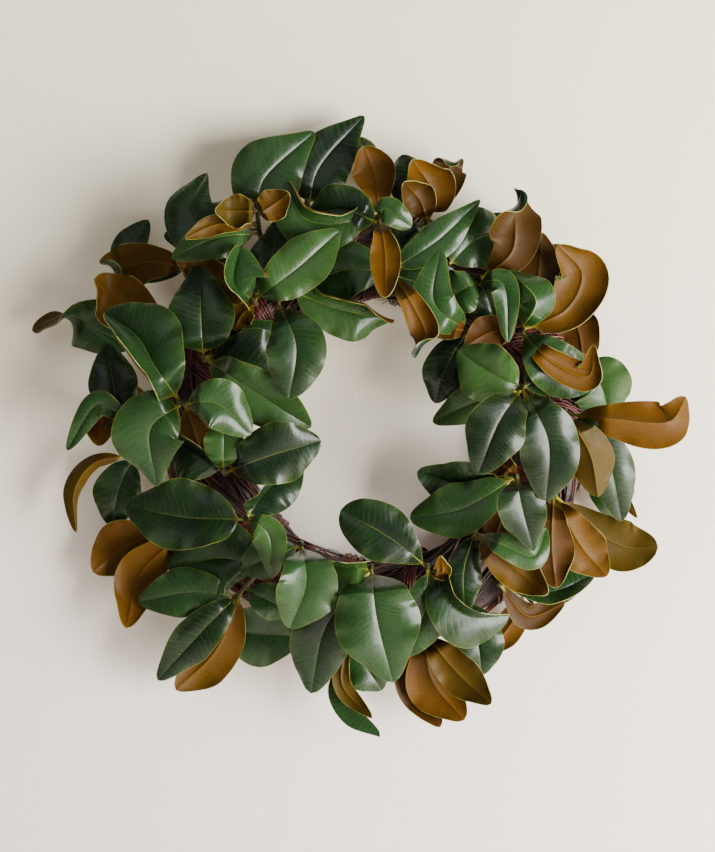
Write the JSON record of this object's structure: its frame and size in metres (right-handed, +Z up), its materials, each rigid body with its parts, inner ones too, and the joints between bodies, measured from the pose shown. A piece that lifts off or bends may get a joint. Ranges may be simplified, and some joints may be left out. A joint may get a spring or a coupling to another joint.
{
  "type": "magnolia wreath",
  "caption": "Round wreath of leathery magnolia leaves with glossy green tops and brown undersides, on a ring of wound twigs, for hanging on a wall or door.",
  "frame": {"origin": "hang point: where a nail in the wall bears on the top inside of the twig ring, on the wall plane", "axes": "+Z up, +Y into the wall, so the flat back of the ring lies on y = 0 and the leaves face -Y"},
  "size_m": [0.6399, 0.1723, 0.6092],
  "materials": {
    "leaf": "glossy",
    "twig": "matt bark"
  },
  "bodies": {
    "root": {"sprig_left_front": "leaf", "sprig_left_upper": "leaf", "sprig_left_low": "leaf", "sprig_left_middle": "leaf", "sprig_bottom_left": "leaf", "sprig_bottom_front": "leaf", "sprig_bottom_curl": "leaf", "sprig_bottom_right_front": "leaf", "sprig_bottom_right_low": "leaf", "sprig_right_low_front": "leaf", "sprig_right_low": "leaf", "sprig_right_front": "leaf", "sprig_right_inner": "leaf", "sprig_right_out": "leaf", "sprig_right_boats": "leaf", "sprig_right_long": "leaf", "sprig_right_corner": "leaf", "sprig_top_front": "leaf", "sprig_top_outer": "leaf", "sprig_top_right": "leaf", "sprig_top_cups": "leaf", "sprig_upper_right": "leaf", "sprig_right_upper": "leaf", "sprig_right_side": "leaf", "sprig_top_left_out": "leaf", "sprig_top_left": "leaf", "sprig_upper_left_front": "leaf", "sprig_upper_left_hanging": "leaf", "sprig_upper_left_inner": "leaf", "sprig_left_corner": "leaf", "sprig_left_out": "leaf", "sprig_left_side": "leaf", "sprig_left_hanging": "leaf", "sprig_left_bottom": "leaf", "sprig_bottom_left_inner": "leaf", "sprig_right_back": "leaf", "sprig_top_right_back": "leaf", "sprig_bottom_right_back": "leaf", "sprig_bottom_left_low": "leaf", "twig_ring": "twig"}
  },
  "joints": []
}
